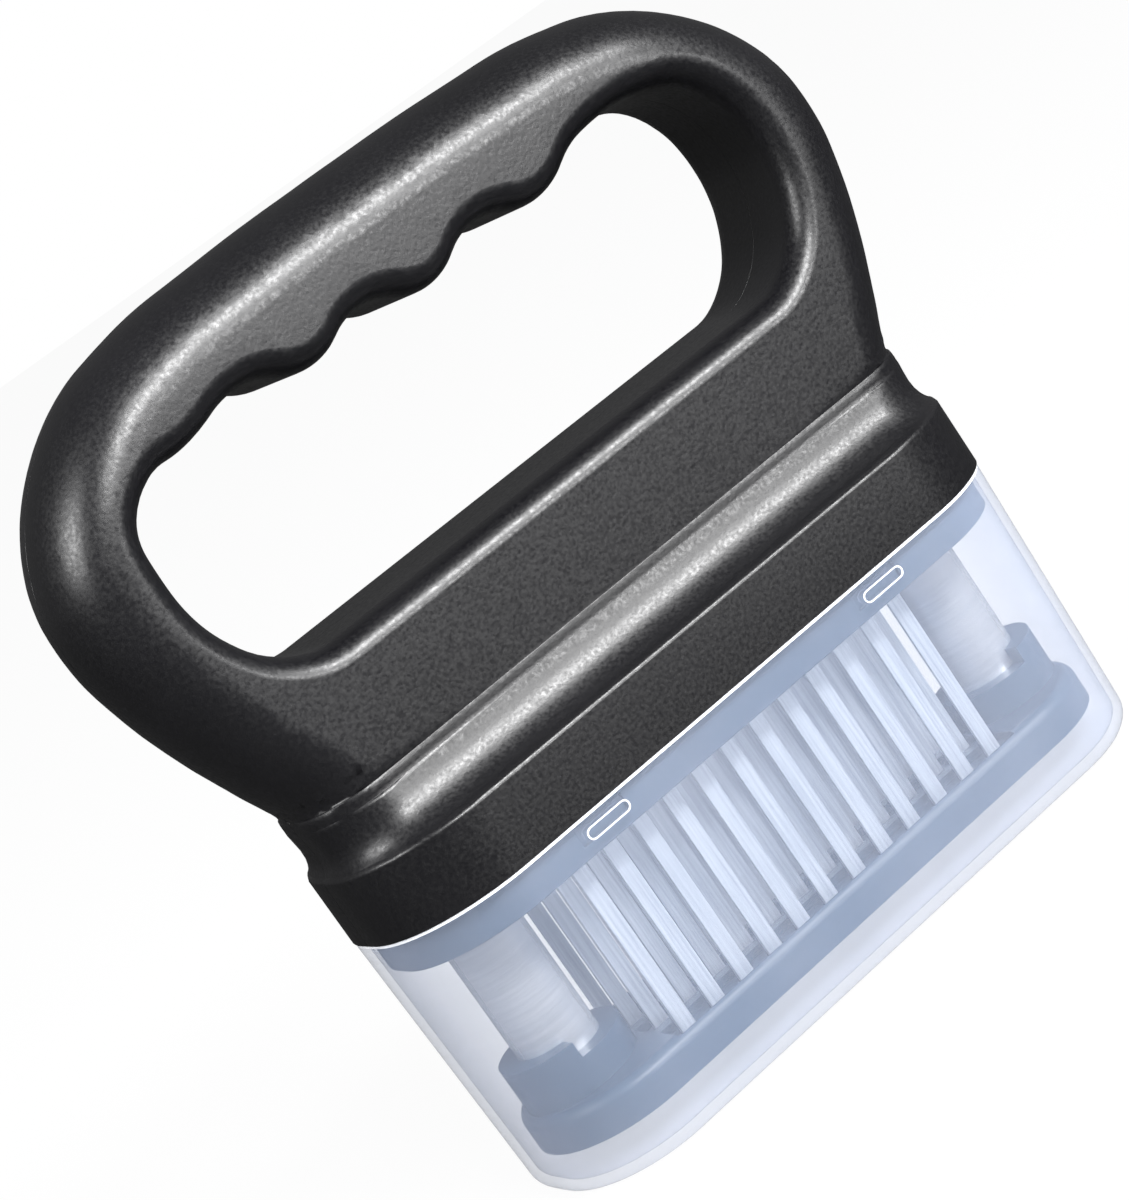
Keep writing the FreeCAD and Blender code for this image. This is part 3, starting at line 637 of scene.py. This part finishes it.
def floorMaterial():
    material, tree, shader = newMaterial("paleFloor")
    tree.nodes.remove(shader)
    plain = addNode(tree, "ShaderNodeBsdfDiffuse")
    plain.inputs["Color"].default_value = (*stageLook["floorColour"], 1.0)
    white = addNode(tree, "ShaderNodeEmission")
    path = addNode(tree, "ShaderNodeLightPath")
    share = addNode(tree, "ShaderNodeMath", operation="MULTIPLY")
    share.inputs[1].default_value = stageLook["floorGlow"]
    tree.links.new(seenDirectly(tree, path), share.inputs[0])
    mix = addNode(tree, "ShaderNodeMixShader")
    tree.links.new(share.outputs["Value"], mix.inputs["Fac"])
    tree.links.new(plain.outputs["BSDF"], mix.inputs[1])
    tree.links.new(white.outputs["Emission"], mix.inputs[2])
    mirrored = addNode(tree, "ShaderNodeEmission")  # what gloss sees of the floor
    mirrored.inputs["Strength"].default_value = stageLook["floorGloss"]
    whole = addNode(tree, "ShaderNodeMixShader")
    tree.links.new(path.outputs["Is Glossy Ray"], whole.inputs["Fac"])
    tree.links.new(mix.outputs["Shader"], whole.inputs[1])
    tree.links.new(mirrored.outputs["Emission"], whole.inputs[2])
    tree.links.new(whole.outputs["Shader"], tree.nodes["Material Output"].inputs["Surface"])
    return material


def makeFloor():
    bm = bmesh.new()
    bmesh.ops.create_grid(bm, x_segments=1, y_segments=1, size=stageLook["floorSize"] / 2)
    bmesh.ops.translate(bm, verts=bm.verts[:], vec=(0.0, 0.0, -stageLook["floorDrop"]))
    mesh = bpy.data.meshes.new("floor")
    bm.to_mesh(mesh)
    bm.free()
    mesh.materials.append(floorMaterial())
    floor = bpy.data.objects.new("floor", mesh)
    bpy.context.scene.collection.objects.link(floor)


def makeWorld():
    world = bpy.data.worlds.new("studio")
    bpy.context.scene.world = world
    world.use_nodes = True
    tree = world.node_tree
    base = tree.nodes["Background"]
    path = addNode(tree, "ShaderNodeLightPath")
    gloss = toRange(tree, path.outputs["Is Glossy Ray"], stageLook["worldLight"],
                    stageLook["worldGloss"])
    level = addNode(tree, "ShaderNodeMix", data_type="FLOAT")
    tree.links.new(seenDirectly(tree, path), level.inputs["Factor"])
    tree.links.new(gloss, level.inputs["A"])
    level.inputs["B"].default_value = 1.0
    base.inputs["Color"].default_value = (1.0, 1.0, 1.0, 1.0)
    tree.links.new(level.outputs["Result"], base.inputs["Strength"])


# Lamps: a long softbox above the front, and two cards that light the edges

lampLook = {
    # name: (place, aimed at, width, height, power)
    "keySoftbox": ((0.18, -0.66, 0.58), (0.0, 0.0, 0.09), 0.80, 0.18, 15.5),
    "frontCard": ((0.46, -1.00, 0.26), (0.0, 0.0, 0.09), 0.40, 0.20, 5.6),
    "leftCard": ((-0.66, -0.12, 0.56), (0.0, 0.0, 0.08), 0.26, 0.36, 3.6),
}


def makeLamps():
    for name, (place, aim, width, height, power) in lampLook.items():
        data = bpy.data.lights.new(name, "AREA")
        data.shape = "RECTANGLE"
        data.size = width
        data.size_y = height
        data.energy = power
        lamp = bpy.data.objects.new(name, data)
        lamp.location = place
        direction = Vector(aim) - Vector(place)
        lamp.rotation_euler = direction.to_track_quat("-Z", "Y").to_euler()
        bpy.context.scene.collection.objects.link(lamp)


# Camera: tilted as the tool lies in the picture

cameraLook = {
    "target": (-0.005445, 0.0, 0.06248),
    "distance": 0.43887,
    "azimuth": -23.5,
    "elevation": 10.97,
    "roll": -34.44,
    "lens": 97.93,
    "sensorHeight": 36.0,
    "nearest": 0.01,
}


def makeCamera():
    turn = math.radians(cameraLook["azimuth"])
    rise = math.radians(cameraLook["elevation"])
    roll = math.radians(cameraLook["roll"])
    back = Vector((math.sin(turn) * math.cos(rise), -math.cos(turn) * math.cos(rise),
                   math.sin(rise)))
    right = (-back).cross(Vector((0.0, 0.0, 1.0))).normalized()
    up = right.cross(-back).normalized()
    across = right * math.cos(roll) + up * math.sin(roll)
    upright = up * math.cos(roll) - right * math.sin(roll)
    place = Vector(cameraLook["target"]) + back * cameraLook["distance"]
    data = bpy.data.cameras.new("camera")
    data.sensor_fit = "VERTICAL"
    data.sensor_height = cameraLook["sensorHeight"]
    data.lens = cameraLook["lens"]
    data.clip_start = cameraLook["nearest"]
    camera = bpy.data.objects.new("camera", data)
    camera.matrix_world = Matrix((
        (across.x, upright.x, back.x, place.x),
        (across.y, upright.y, back.y, place.y),
        (across.z, upright.z, back.z, place.z),
        (0.0, 0.0, 0.0, 1.0)))
    bpy.context.scene.collection.objects.link(camera)
    bpy.context.scene.camera = camera


makeFloor()
makeWorld()
makeLamps()
makeCamera()
bpy.context.scene.view_settings.view_transform = "Standard"
print("floor, world, lamps and camera done")
